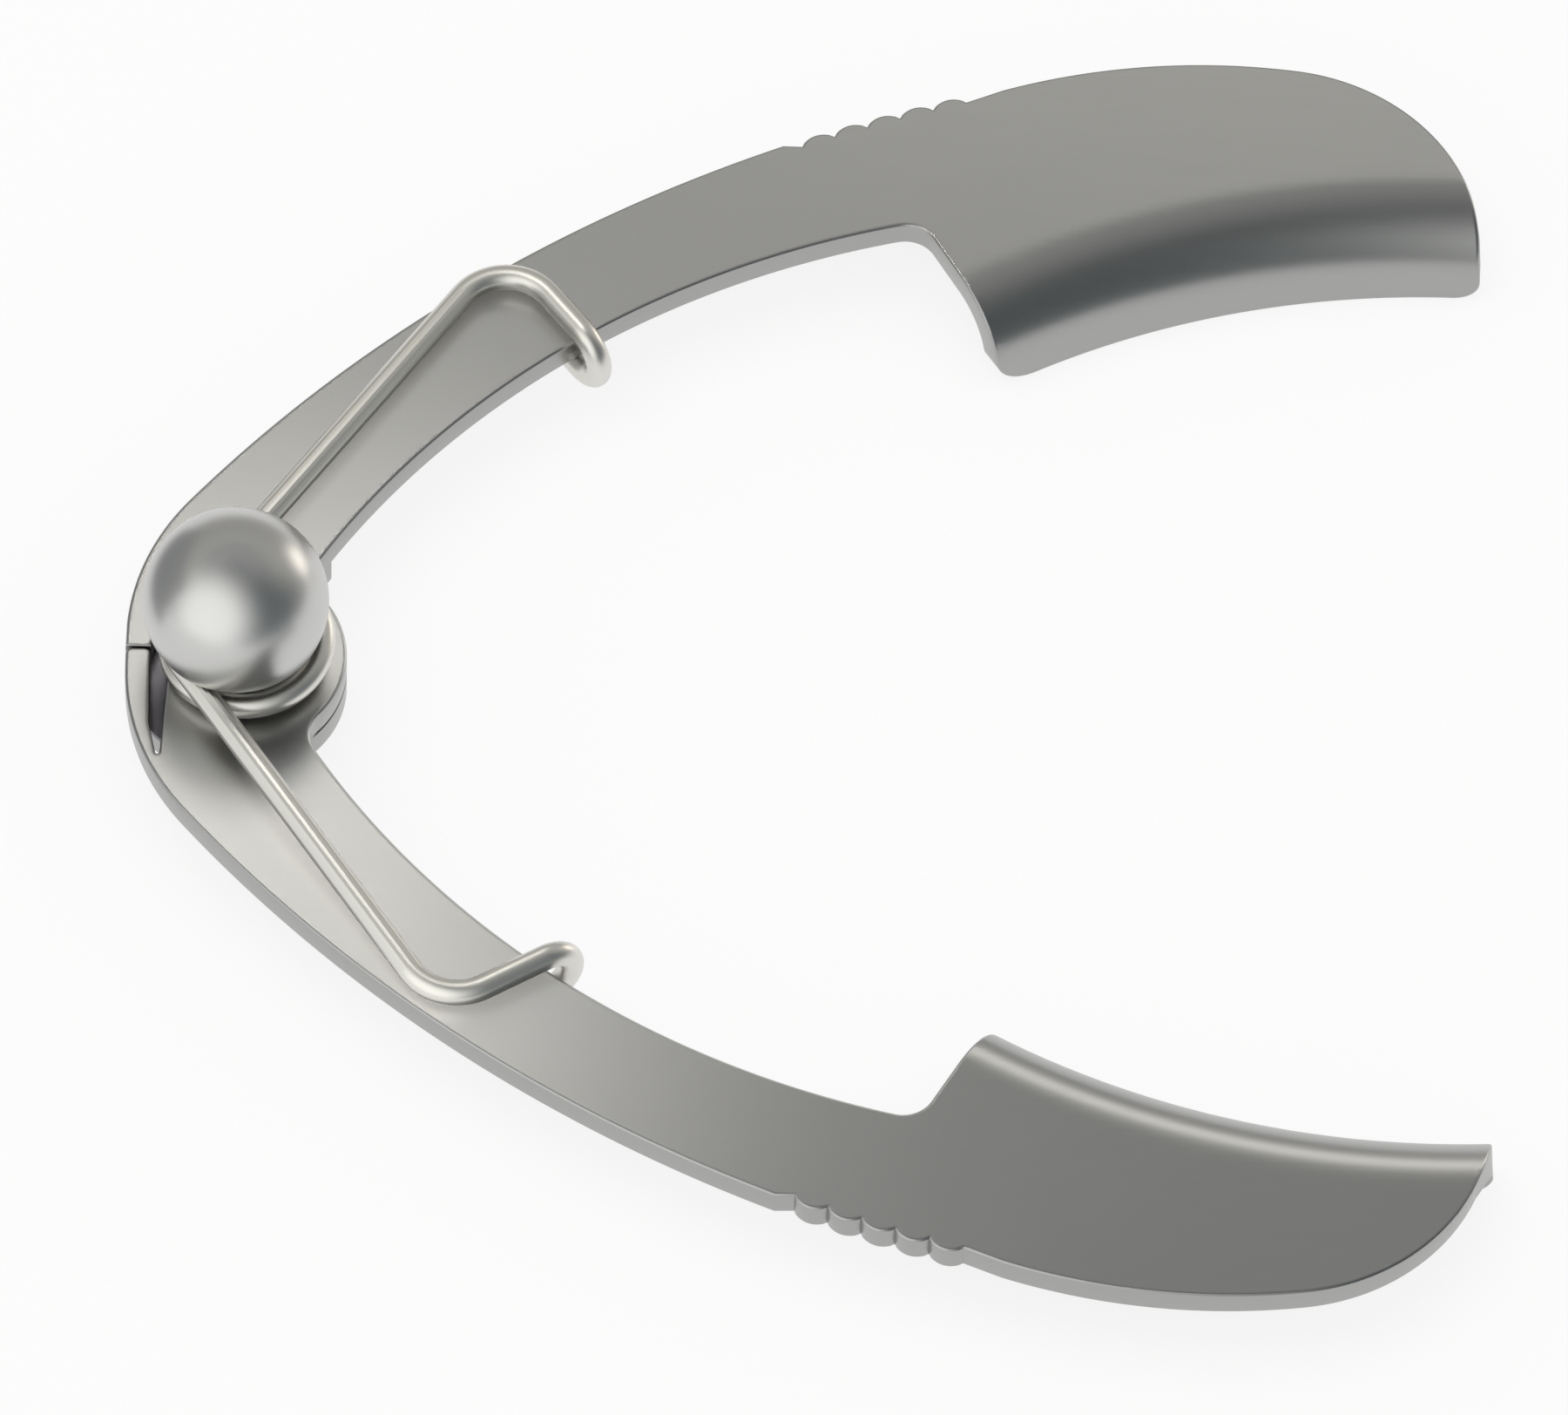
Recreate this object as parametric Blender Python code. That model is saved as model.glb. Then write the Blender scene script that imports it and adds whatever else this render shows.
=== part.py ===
"""Sprung eye speculum: two bowed steel arms with curled lid blades, lapped on a ball-headed pin,
pushed open by a hooked torsion spring and stopped by a finger on the lower arm.

Metres, +Z up. The pin's axis is Z, the rivet head's underside is z = 0, the blades point along +X
and the upper arm lies on the +Y side. Both arms are drawn on the +Y side; the lower is mirrored.
"""

import math

import bmesh
import bpy
from mathutils import Matrix, Vector

MM = 0.001

# Sheet and hinge stack
SHEET = 0.85 * MM
LAP_GAP = 0.05 * MM
EYE_RADIUS = 3.05 * MM
HUB_CLEARANCE = 0.4 * MM
LAP_CLEARANCE = 0.1 * MM
LAP_INSET = 0.03 * MM
LOBE_END = math.radians(60)
DOUBLER_LAP = 1.45 * MM
NECK_FILLET = 1.0 * MM
WELL_START = math.radians(-80)
WELL_MARGIN = math.radians(3)

# Pin and ball
PIN_RADIUS = 1.1 * MM
PIN_CLEARANCE = 0.04 * MM
RIVET_RADIUS = 1.9 * MM
RIVET_HEAD = 0.4 * MM
RIVET_CHAMFER = 0.15 * MM
BALL_RADIUS = 2.57 * MM
BALL_RISE = 2.6 * MM
BALL_NECK = 1.35 * MM
BALL_BORE_DEPTH = 2.6 * MM

# Stop finger and heel
FINGER_WIDTH = 0.7 * MM
SLOT_DEPTH = 3.4 * MM
SLOT_BEND = 1.1 * MM
SLOT_LEAN = 0.2 * MM
SLOT_END = 0.1 * MM
SLOT_END_ROUND = 0.06 * MM
HUB_FLANK = math.radians(17)
STOP_GAP = 0.06 * MM
STOP_HEIGHT = 0.16 * MM
FINGER_ROUND = 0.2 * MM

# Arm outline: a small root arc runs into the long outer bow; the inner bow gives the waist
ROOT_ARC = 7.34 * MM
ROOT_ARC_RISE = 0.5 * MM
ROOT_ARC_TURN = math.radians(39.2)
OUTER_BOW = 43.0 * MM
OUTER_SWEEP = math.radians(34.75)
INNER_BOW = 25.8 * MM
ROOT_WIDTH = 4.2 * MM
NECK_WIDTH = 4.15 * MM

# Finger grips on the outer edge, counted back from the blade
GRIPS = 5
GRIP_PITCH = 0.98 * MM
GRIP_DEPTH = 0.22 * MM
GRIP_FULLNESS = 0.7
GRIP_STEPS = 6

# Blade: its lip follows a flat arc, and its outer edge is a bow that runs into a round tip
LIP_BOW = 24.1 * MM
LIP_BEND = 2.25 * MM
LIP_DROP = 2.75 * MM
BLADE_LENGTH = 14.45 * MM
BLADE_BOW = 18.0 * MM
BLADE_CROWN_BACK = 1.6 * MM
TIP_ARC = 5.9 * MM
TIP_INSET = 4.8 * MM
TIP_CORNER = 0.7 * MM
LIP_CORNER = 1.2 * MM
BLADE_FILLET = 0.9 * MM
STEP_RUN = 1.1 * MM
LIP_SET_BACK = 2.35 * MM
LIP_CENTRE_BACK = 1.2 * MM

# The blank is divided along rays from the lip's centre: close on the blade, wide on the arm
BLADE_RAYS = 19
BLADE_RAY_START = math.radians(80)
BLADE_RAY_STEP = math.radians(2.5)
ARM_RAYS = 5
ARM_RAY_START = math.radians(135)
ARM_RAY_STEP = math.radians(12)
BEND_STEPS = 8

# Spring
WIRE_RADIUS = 0.35 * MM
COIL_RADIUS = 2.1 * MM
COIL_SHIFT = 0.3 * MM
COIL_CLEARANCE = 0.04 * MM
LEG_HEIGHT = 0.1 * MM
UPPER_LEG_REACH = 3.5 * MM
LOWER_LEG_REACH = 3.3 * MM
LEG_CORNER = 1.5 * MM
UPPER_HOOK_STATION = math.radians(28.4)
LOWER_HOOK_STATION = math.radians(30.5)
HOOK_RETURN = 0.6 * MM
HOOK_FULLNESS = 0.999
UPPER_HOOK_SKEW = math.radians(2)
LOWER_HOOK_SKEW = math.radians(22)
COIL_STEPS = 56

# Finish
STEEL = (0.74, 0.73, 0.71, 1.0)
ARM_ROUGHNESS = 0.2
PIN_ROUGHNESS = 0.25
BALL_ROUGHNESS = 0.12
WIRE_ROUGHNESS = 0.15
SHARP_ANGLE = math.radians(35)

# The upper arm swings this far from the stop before the tips meet
CLOSING_ANGLE = math.radians(44)

# The hinge in plan: the heel is as wide as the stop finger, and the hub turns inside it
HEEL_BORE = EYE_RADIUS - FINGER_WIDTH
HUB_RADIUS = HEEL_BORE - HUB_CLEARANCE
DOUBLER_REACH = EYE_RADIUS + DOUBLER_LAP

# Levels
LOW_BOTTOM = RIVET_HEAD + LAP_GAP
LOW_TOP = LOW_BOTTOM + SHEET
TOP_BOTTOM = LOW_TOP + LAP_GAP
TOP = TOP_BOTTOM + SHEET
COIL_LOW = TOP + COIL_CLEARANCE + WIRE_RADIUS
COIL_HIGH = COIL_LOW + 2 * WIRE_RADIUS + COIL_CLEARANCE / 2
BALL_SEAT = COIL_HIGH + WIRE_RADIUS + COIL_CLEARANCE
BALL_CENTRE = TOP + BALL_RISE

PIN_AXIS = Vector((0, 0))


def polar(centre, radius, angle):
    return Vector((centre[0] + radius * math.cos(angle), centre[1] + radius * math.sin(angle)))


def arc(centre, radius, start, end, steps):
    """Points on an arc, both ends included."""
    return [polar(centre, radius, start + (end - start) * i / steps) for i in range(steps + 1)]


def circle_centre(a, b, radius):
    """Centre of the circle through a and b that lies to the right of the way from a to b."""
    middle = (a + b) / 2
    half = (b - a) / 2
    side = Vector((half.y, -half.x)).normalized()
    return middle + side * math.sqrt(radius**2 - half.length_squared)


def angle_about(centre, point):
    return math.atan2(point.y - centre.y, point.x - centre.x) % (2 * math.pi)


def fillet(points, corner, radius, steps=6):
    """The closed outline with the corner nearest to the given point rounded."""
    count = len(points)
    at = min(range(count), key=lambda i: (points[i] - corner).length)
    apex = points[at]

    def walk(way, reach):
        here = apex
        i = at
        while True:
            i = (i + way) % count
            step = points[i] - here
            if step.length >= reach:
                return here + step.normalized() * reach, i
            reach -= step.length
            here = points[i]

    probe_back = (walk(-1, radius)[0] - apex).normalized()
    probe_on = (walk(1, radius)[0] - apex).normalized()
    opening = probe_back.angle(probe_on)
    reach = radius / math.tan(opening / 2)
    back, before = walk(-1, reach)
    on, after = walk(1, reach)
    rounded = []
    for i in range(steps + 1):
        t = i / steps
        pull = math.sin(opening / 2)
        a, b, c = (1 - t) ** 2, 2 * t * (1 - t) * pull, t**2
        rounded.append((back * a + apex * b + on * c) / (a + b + c))
    kept = []
    i = after
    while True:
        kept.append(points[i])
        if i == before:
            break
        i = (i + 1) % count
    return rounded + kept


# The two bows of an arm
ROOT_CENTRE = Vector((ROOT_ARC - EYE_RADIUS, ROOT_ARC_RISE))
JOIN_ANGLE = math.pi - ROOT_ARC_TURN
OUTER_CENTRE = polar(ROOT_CENTRE, ROOT_ARC - OUTER_BOW, JOIN_ANGLE)
NECK_ANGLE = JOIN_ANGLE - OUTER_SWEEP
INNER_ROOT = polar(OUTER_CENTRE, OUTER_BOW - ROOT_WIDTH, JOIN_ANGLE)
INNER_NECK = polar(OUTER_CENTRE, OUTER_BOW - NECK_WIDTH, NECK_ANGLE)
INNER_CENTRE = circle_centre(INNER_ROOT, INNER_NECK, INNER_BOW)
OUTER_NECK = polar(OUTER_CENTRE, OUTER_BOW, NECK_ANGLE)

# The blade, placed from the arm's neck
BLADE_END = OUTER_NECK.x + BLADE_LENGTH
TIP_CENTRE = Vector((BLADE_END - TIP_ARC, OUTER_NECK.y - TIP_INSET))
LIP_CENTRE = Vector((BLADE_END - LIP_CENTRE_BACK, TIP_CENTRE.y - LIP_BOW))
BEND_START = LIP_BOW + LIP_BEND
LIP_EDGE = BEND_START - LIP_BEND * math.pi / 2 - (LIP_DROP - LIP_BEND)
BLADE_CENTRE = TIP_CENTRE - Vector(
    (BLADE_CROWN_BACK, math.sqrt((BLADE_BOW - TIP_ARC) ** 2 - BLADE_CROWN_BACK**2))
)
TIP_JOIN = angle_about(BLADE_CENTRE, TIP_CENTRE)
NOTCH_ANGLE = angle_about(INNER_CENTRE, INNER_NECK) + LIP_SET_BACK / INNER_BOW


def crossing(centre, radius, reach, side):
    """Angle about the centre where its circle is the given reach from the pin."""
    far = centre.length
    cosine = (far**2 + radius**2 - reach**2) / (2 * far * radius)
    return angle_about(centre, Vector((0, 0))) + side * math.acos(cosine)


def grip_edge():
    """Bumps along the outer bow, from the blade's end back towards the root."""
    pitch = GRIP_PITCH / OUTER_BOW
    notch = OUTER_BOW - GRIP_DEPTH
    points = []
    for grip in range(GRIPS):
        start = NECK_ANGLE + grip * pitch
        for i in range(GRIP_STEPS):
            turn = i / GRIP_STEPS
            rise = GRIP_DEPTH * math.sin(math.pi * turn) ** GRIP_FULLNESS
            points.append(polar(OUTER_CENTRE, notch + rise, start + pitch * turn))
    points.append(polar(OUTER_CENTRE, notch, NECK_ANGLE + GRIPS * pitch))
    return points


def blade_and_arm_edge():
    """From the hinge out along the inner bow, round the blade and back along the outer bow."""
    notch = polar(INNER_CENTRE, INNER_BOW, NOTCH_ANGLE)
    left = angle_about(LIP_CENTRE, notch)
    blade_start = OUTER_NECK.x + STEP_RUN
    start = math.acos((blade_start - BLADE_CENTRE.x) / BLADE_BOW)
    grips_end = NECK_ANGLE + (GRIPS + 0.5) * GRIP_PITCH / OUTER_BOW
    root = crossing(INNER_CENTRE, INNER_BOW, EYE_RADIUS, -1)
    edge = arc(INNER_CENTRE, INNER_BOW, root, NOTCH_ANGLE, 18)
    lip_left = polar(LIP_CENTRE, LIP_EDGE, left)
    lip_right = Vector((BLADE_END, LIP_CENTRE.y + math.sqrt(LIP_EDGE**2 - LIP_CENTRE_BACK**2)))
    edge += arc(LIP_CENTRE, LIP_EDGE, left, angle_about(LIP_CENTRE, lip_right), 16)
    edge += arc(TIP_CENTRE, TIP_ARC, 0, TIP_JOIN, 12)
    edge += arc(BLADE_CENTRE, BLADE_BOW, TIP_JOIN, start, 12)[1:]
    edge += grip_edge()
    edge += arc(OUTER_CENTRE, OUTER_BOW, grips_end, JOIN_ANGLE, 16)
    edge += arc(ROOT_CENTRE, ROOT_ARC, JOIN_ANGLE, math.pi, 8)[1:]
    return edge, [(notch, BLADE_FILLET), (lip_left, LIP_CORNER), (lip_right, TIP_CORNER)]


def upper_outline():
    """The upper arm ends in a heel; inside the lap its edge is only a guide for the well."""
    edge, corners = blade_and_arm_edge()
    edge += [Vector((-EYE_RADIUS, STOP_HEIGHT + STOP_GAP)), Vector((0, STOP_HEIGHT + STOP_GAP))]
    for corner, radius in corners:
        edge = fillet(edge, corner, radius)
    return edge


def lower_outline():
    """The lower arm carries the hub, its lobe, and the stop finger beyond a tapering slot."""
    edge, corners = blade_and_arm_edge()
    eye = edge[0]
    slot_left = -HEEL_BORE + SLOT_LEAN
    finger_tip = [Vector((-EYE_RADIUS, -STOP_HEIGHT)), Vector((-HEEL_BORE, -STOP_HEIGHT))]
    slot_end = [
        Vector((slot_left, SLOT_DEPTH - SLOT_END)),
        Vector((slot_left + SLOT_END, SLOT_DEPTH)),
    ]
    edge += finger_tip + [Vector((-HEEL_BORE, SLOT_DEPTH - SLOT_BEND))] + slot_end
    edge += arc(PIN_AXIS, HUB_RADIUS, math.pi - HUB_FLANK, 2 * math.pi - LOBE_END, 18)
    edge += arc(PIN_AXIS, EYE_RADIUS, -LOBE_END, angle_about(PIN_AXIS, eye), 14)[:-1]
    corners = corners + [(corner, FINGER_ROUND) for corner in finger_tip]
    corners += [(corner, SLOT_END_ROUND) for corner in slot_end]
    corners.append((eye, NECK_FILLET))
    for corner, radius in corners:
        edge = fillet(edge, corner, radius)
    return edge


def mesh_object(name, mesh_builder):
    """A new object from a bmesh, linked and made outward-facing."""
    mesh = bpy.data.meshes.new(name)
    built = bmesh.new()
    mesh_builder(built)
    bmesh.ops.recalc_face_normals(built, faces=built.faces)
    built.to_mesh(mesh)
    built.free()
    obj = bpy.data.objects.new(name, mesh)
    bpy.context.scene.collection.objects.link(obj)
    return obj


def prism(name, outline, bottom, top):
    def build(built):
        base = [built.verts.new((point.x, point.y, bottom)) for point in outline]
        face = built.faces.new(base)
        grown = bmesh.ops.extrude_face_region(built, geom=[face])
        lifted = [item for item in grown["geom"] if isinstance(item, bmesh.types.BMVert)]
        bmesh.ops.translate(built, verts=lifted, vec=(0, 0, top - bottom))

    return mesh_object(name, build)


def disc(name, radius, bottom, top, sides=72):
    return prism(name, arc(PIN_AXIS, radius, 0, 2 * math.pi * (1 - 1 / sides), sides - 1), bottom, top)


def boolean(obj, other, operation):
    """Joins or cuts with the other object, which is used up."""
    step = obj.modifiers.new(operation.lower(), "BOOLEAN")
    step.operation = operation
    step.object = other
    step.solver = "EXACT"
    bpy.context.view_layer.update()
    evaluated = obj.evaluated_get(bpy.context.evaluated_depsgraph_get())
    result = bpy.data.meshes.new_from_object(evaluated)
    obj.modifiers.clear()
    obj.data = result
    bpy.data.objects.remove(other)


def sheet_blank(name, outline):
    """The flat blank, divided along rings about the lip's centre so that its edge can curl."""
    rings = [LIP_EDGE - 4 * LIP_CORNER, LIP_EDGE + (LIP_DROP - LIP_BEND)]
    bend = LIP_BEND * math.pi / 2
    rings += [BEND_START - bend * (1 - i / BEND_STEPS) for i in range(1, BEND_STEPS + 1)]
    rings += [2 * OUTER_BOW]
    spread = [BLADE_RAY_START + BLADE_RAY_STEP * i for i in range(BLADE_RAYS)]
    spread += [ARM_RAY_START + ARM_RAY_STEP * i for i in range(ARM_RAYS)]

    def build(built):
        layers = []
        for level in (TOP_BOTTOM, TOP):
            layers.append(
                [[built.verts.new((*polar(LIP_CENTRE, r, a), level)) for r in rings] for a in spread]
            )
        low, high = layers
        last_ray = len(spread) - 1
        last_ring = len(rings) - 1
        for i in range(last_ray):
            for j in range(last_ring):
                for grid in layers:
                    built.faces.new((grid[i][j], grid[i][j + 1], grid[i + 1][j + 1], grid[i + 1][j]))
            for j in (0, last_ring):
                built.faces.new((low[i][j], low[i + 1][j], high[i + 1][j], high[i][j]))
        for j in range(last_ring):
            for i in (0, last_ray):
                built.faces.new((low[i][j], low[i][j + 1], high[i][j + 1], high[i][j]))

    blank = mesh_object(name, build)
    boolean(blank, prism("blank outline", outline, TOP_BOTTOM - SHEET, TOP + SHEET), "INTERSECT")
    return blank


def curl_lip(obj):
    """Rolls the blank's lip down round the bend: a quarter turn, then straight."""
    for vertex in obj.data.vertices:
        flat = Vector((vertex.co.x, vertex.co.y)) - LIP_CENTRE
        past = BEND_START - flat.length
        if past <= 0:
            continue
        radius = LIP_BEND - (TOP - vertex.co.z)
        turn = min(past / LIP_BEND, math.pi / 2)
        straight = past - turn * LIP_BEND
        place = LIP_CENTRE + flat.normalized() * (BEND_START - radius * math.sin(turn))
        vertex.co = (*place, TOP - LIP_BEND + radius * math.cos(turn) - straight)


def lap_well(name):
    """What the upper arm clears: the hub, and its lobe over the whole swing."""
    swing_end = LOBE_END + CLOSING_ANGLE + WELL_MARGIN
    heel_end = math.pi - math.asin((STOP_HEIGHT + STOP_GAP) / HEEL_BORE)
    outline = arc(PIN_AXIS, EYE_RADIUS + LAP_CLEARANCE, WELL_START, swing_end, 30)
    outline += arc(PIN_AXIS, HEEL_BORE, swing_end, heel_end, 16)
    outline += [Vector((-DOUBLER_REACH, STOP_HEIGHT + STOP_GAP)), Vector((-DOUBLER_REACH, -DOUBLER_REACH))]
    return prism(name, outline, LOW_TOP, TOP + SHEET)


def lap_plate(name):
    """The upper arm's eye, one sheet lower, and the doubler that carries it from under the arm."""
    root_arc = ROOT_ARC - LAP_INSET
    inner_bow = INNER_BOW + LAP_INSET
    eye_start = crossing(INNER_CENTRE, inner_bow, EYE_RADIUS, -1)
    inner_end = crossing(INNER_CENTRE, inner_bow, DOUBLER_REACH, -1)
    outer_end = crossing(ROOT_CENTRE, root_arc, DOUBLER_REACH, -1)
    eye = polar(INNER_CENTRE, inner_bow, eye_start)
    inner = polar(INNER_CENTRE, inner_bow, inner_end)
    outer = polar(ROOT_CENTRE, root_arc, outer_end)
    outline = arc(PIN_AXIS, DOUBLER_REACH, angle_about(PIN_AXIS, inner), angle_about(PIN_AXIS, outer), 10)
    outline += arc(ROOT_CENTRE, root_arc, outer_end, math.pi, 6)[1:]
    outline += arc(PIN_AXIS, EYE_RADIUS, math.pi, 2 * math.pi + angle_about(PIN_AXIS, eye), 40)
    outline += arc(INNER_CENTRE, inner_bow, eye_start, inner_end, 4)[1:-1]
    outline = fillet(outline, eye, NECK_FILLET)
    return prism(name, outline, LOW_BOTTOM, TOP - SHEET / 2)


def finish_metal(obj, roughness):
    material = bpy.data.materials.new(obj.name)
    material.use_nodes = True
    shader = material.node_tree.nodes["Principled BSDF"]
    shader.inputs["Base Color"].default_value = STEEL
    shader.inputs["Metallic"].default_value = 1.0
    shader.inputs["Roughness"].default_value = roughness
    obj.data.materials.append(material)
    if obj.type == "MESH":
        obj.data.shade_smooth()
        obj.data.set_sharp_from_angle(angle=SHARP_ANGLE)


def make_upper_arm():
    arm = sheet_blank("upper_arm", upper_outline())
    boolean(arm, lap_plate("lap plate"), "UNION")
    boolean(arm, lap_well("lap well"), "DIFFERENCE")
    boolean(arm, disc("pin hole", PIN_RADIUS + PIN_CLEARANCE, 0, TOP), "DIFFERENCE")
    curl_lip(arm)
    finish_metal(arm, ARM_ROUGHNESS)
    return arm


def make_lower_arm():
    arm = sheet_blank("lower_arm", lower_outline())
    boolean(arm, disc("pin hole", PIN_RADIUS + PIN_CLEARANCE, 0, 2 * TOP), "DIFFERENCE")
    curl_lip(arm)
    arm.data.transform(Matrix.Diagonal((1, -1, 1, 1)))
    arm.data.flip_normals()
    finish_metal(arm, ARM_ROUGHNESS)
    return arm


def turned(name, profile, sides=64):
    """A solid of revolution about Z, from (radius, height) points that run from axis to axis."""

    def build(built):
        points = [built.verts.new((r, 0, z)) for r, z in profile]
        edges = [built.edges.new(pair) for pair in zip(points, points[1:])]
        bmesh.ops.spin(
            built, geom=points + edges, cent=(0, 0, 0), axis=(0, 0, 1),
            angle=2 * math.pi, steps=sides, use_merge=True,
        )
        bmesh.ops.remove_doubles(built, verts=built.verts, dist=1e-8)

    return mesh_object(name, build)


def make_pin():
    shank_top = TOP + BALL_BORE_DEPTH
    pin = turned(
        "pivot_pin",
        [
            (0, 0),
            (RIVET_RADIUS - RIVET_CHAMFER, 0),
            (RIVET_RADIUS, RIVET_CHAMFER),
            (RIVET_RADIUS, RIVET_HEAD),
            (PIN_RADIUS, RIVET_HEAD),
            (PIN_RADIUS, shank_top - RIVET_CHAMFER),
            (PIN_RADIUS - RIVET_CHAMFER, shank_top),
            (0, shank_top),
        ],
    )
    finish_metal(pin, PIN_ROUGHNESS)
    return pin


def make_ball():
    """A polished ball, faced flat over the coil, whose neck seats on the lap and is bored for the pin."""
    neck_bottom = TOP + LAP_GAP
    bore_end = neck_bottom + BALL_BORE_DEPTH
    seat_angle = math.asin((BALL_SEAT - BALL_CENTRE) / BALL_RADIUS)
    profile = [
        (0, bore_end),
        (PIN_RADIUS + PIN_CLEARANCE, bore_end),
        (PIN_RADIUS + PIN_CLEARANCE, neck_bottom),
        (BALL_NECK, neck_bottom),
        (BALL_NECK, BALL_SEAT),
    ]
    steps = 28
    for i in range(steps + 1):
        angle = seat_angle + (math.pi / 2 - seat_angle) * i / steps
        radius = BALL_RADIUS * math.cos(angle) if i < steps else 0
        profile.append((radius, BALL_CENTRE + BALL_RADIUS * math.sin(angle)))
    ball = turned("ball_knob", profile)
    finish_metal(ball, BALL_ROUGHNESS)
    return ball


def leg(side, station, skew, reach):
    """Corners of a leg from its hook's end in to its turn on the arm, with their bend radii."""
    from_centre = angle_about(INNER_CENTRE, INNER_NECK) + station
    edge = polar(INNER_CENTRE, INNER_BOW, from_centre)
    out = Vector((math.cos(from_centre + skew), math.sin(from_centre + skew)))
    above = TOP + LEG_HEIGHT + WIRE_RADIUS
    below = TOP_BOTTOM - LEG_HEIGHT - WIRE_RADIUS
    bend = (above - below) / 2

    def place(offset, height):
        point = edge + out * offset
        return Vector((point.x, side * point.y, height))

    return [
        (place(HOOK_RETURN, below), 0),
        (place(-bend, below), bend * HOOK_FULLNESS),
        (place(-bend, above), bend * HOOK_FULLNESS),
        (place(reach, above), LEG_CORNER),
    ]


def tangent_angle(centre, point, radius):
    """Angle about the centre of the tangent from the point, on the side away from the blades."""
    way = point - centre
    return math.atan2(way.y, way.x) + math.acos(radius / way.length)


def spring_route():
    """Bend points of the wire from the upper hook, round the coil, to the lower hook."""
    upper = leg(1, UPPER_HOOK_STATION, UPPER_HOOK_SKEW, UPPER_LEG_REACH)
    lower = leg(-1, LOWER_HOOK_STATION, LOWER_HOOK_SKEW, LOWER_LEG_REACH)
    centre = Vector((COIL_SHIFT, 0))
    corner = lower[-1][0]
    start = tangent_angle(centre, upper[-1][0].xy, COIL_RADIUS)
    end = 4 * math.pi - tangent_angle(centre, Vector((corner.x, -corner.y)), COIL_RADIUS)
    climb_start = end - 2 * math.pi
    climb_end = start + 2 * math.pi
    coil = []
    for i in range(COIL_STEPS + 1):
        angle = start + (end - start) * i / COIL_STEPS
        climb = min(max((angle - climb_start) / (climb_end - climb_start), 0), 1)
        height = COIL_LOW + (COIL_HIGH - COIL_LOW) * climb
        coil.append((Vector((*polar(centre, COIL_RADIUS, angle), height)), 0))
    return upper + coil + list(reversed(lower))


def bent_path(route, steps=8):
    """The route's points with an arc of its bend radius at each corner."""
    points = []
    for i, (corner, radius) in enumerate(route):
        if radius == 0:
            points.append(corner)
            continue
        back = (route[i - 1][0] - corner).normalized()
        on = (route[i + 1][0] - corner).normalized()
        opening = back.angle(on)
        reach = radius / math.tan(opening / 2)
        pull = math.sin(opening / 2)
        for k in range(steps + 1):
            t = k / steps
            a, b, c = (1 - t) ** 2, 2 * t * (1 - t) * pull, t**2
            start = corner + back * reach
            end = corner + on * reach
            points.append((start * a + corner * b + end * c) / (a + b + c))
    return points


def make_spring():
    curve = bpy.data.curves.new("torsion_spring", "CURVE")
    curve.dimensions = "3D"
    curve.bevel_depth = WIRE_RADIUS
    curve.bevel_resolution = 3
    curve.use_fill_caps = True
    points = bent_path(spring_route())
    spline = curve.splines.new("POLY")
    spline.points.add(len(points) - 1)
    for place, point in zip(spline.points, points):
        place.co = (*point, 1)
    spring = bpy.data.objects.new("torsion_spring", curve)
    bpy.context.scene.collection.objects.link(spring)
    finish_metal(spring, WIRE_ROUGHNESS)
    return spring


def main():
    for obj in list(bpy.data.objects):
        bpy.data.objects.remove(obj)
    make_lower_arm()
    make_upper_arm()
    make_pin()
    make_ball()
    make_spring()


main()
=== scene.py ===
"""Looks of a sprung eye speculum: satin steel arms with rounded edges, a polished ball head and a
wire spring.

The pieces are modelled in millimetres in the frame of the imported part, and each is scaled to
metres when it is done. The pin's axis is Z, the blades point along +X and the upper arm lies on
the +Y side.
"""

import math

import bmesh
import bpy
from bpy.props import FloatProperty, FloatVectorProperty, IntProperty, PointerProperty
from mathutils import Matrix, Vector


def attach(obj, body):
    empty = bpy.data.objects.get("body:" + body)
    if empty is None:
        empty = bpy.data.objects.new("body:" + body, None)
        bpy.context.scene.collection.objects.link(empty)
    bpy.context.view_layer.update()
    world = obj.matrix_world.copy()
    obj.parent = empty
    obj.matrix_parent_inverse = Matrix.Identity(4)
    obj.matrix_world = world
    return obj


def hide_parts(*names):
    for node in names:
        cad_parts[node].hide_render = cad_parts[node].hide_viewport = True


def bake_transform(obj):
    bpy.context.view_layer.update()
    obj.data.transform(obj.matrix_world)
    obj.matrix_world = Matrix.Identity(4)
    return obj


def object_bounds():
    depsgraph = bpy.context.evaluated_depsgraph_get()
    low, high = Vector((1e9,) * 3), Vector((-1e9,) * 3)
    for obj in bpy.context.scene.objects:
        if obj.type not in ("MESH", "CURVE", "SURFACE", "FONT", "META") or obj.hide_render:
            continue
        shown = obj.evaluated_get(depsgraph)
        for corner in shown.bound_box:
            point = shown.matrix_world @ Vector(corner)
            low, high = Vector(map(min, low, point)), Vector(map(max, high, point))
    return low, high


bl_info = {
    "name": "Eye speculum",
    "version": (1, 0, 0),
    "blender": (4, 5, 0),
    "location": "3D View > Sidebar > Speculum",
    "description": "Dresses the packed eye speculum in steel and sets its studio",
    "category": "Object",
}

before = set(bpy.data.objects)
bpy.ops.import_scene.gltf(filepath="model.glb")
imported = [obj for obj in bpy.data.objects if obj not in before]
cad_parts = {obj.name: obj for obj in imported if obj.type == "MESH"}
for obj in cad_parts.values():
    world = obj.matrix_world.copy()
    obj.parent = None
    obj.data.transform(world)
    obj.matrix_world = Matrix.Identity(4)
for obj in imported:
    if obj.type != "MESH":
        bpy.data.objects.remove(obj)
CAD_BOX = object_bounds()

MM = 0.001

# Points this close, in millimetres, are one point
CLOSE = 1e-5

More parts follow.
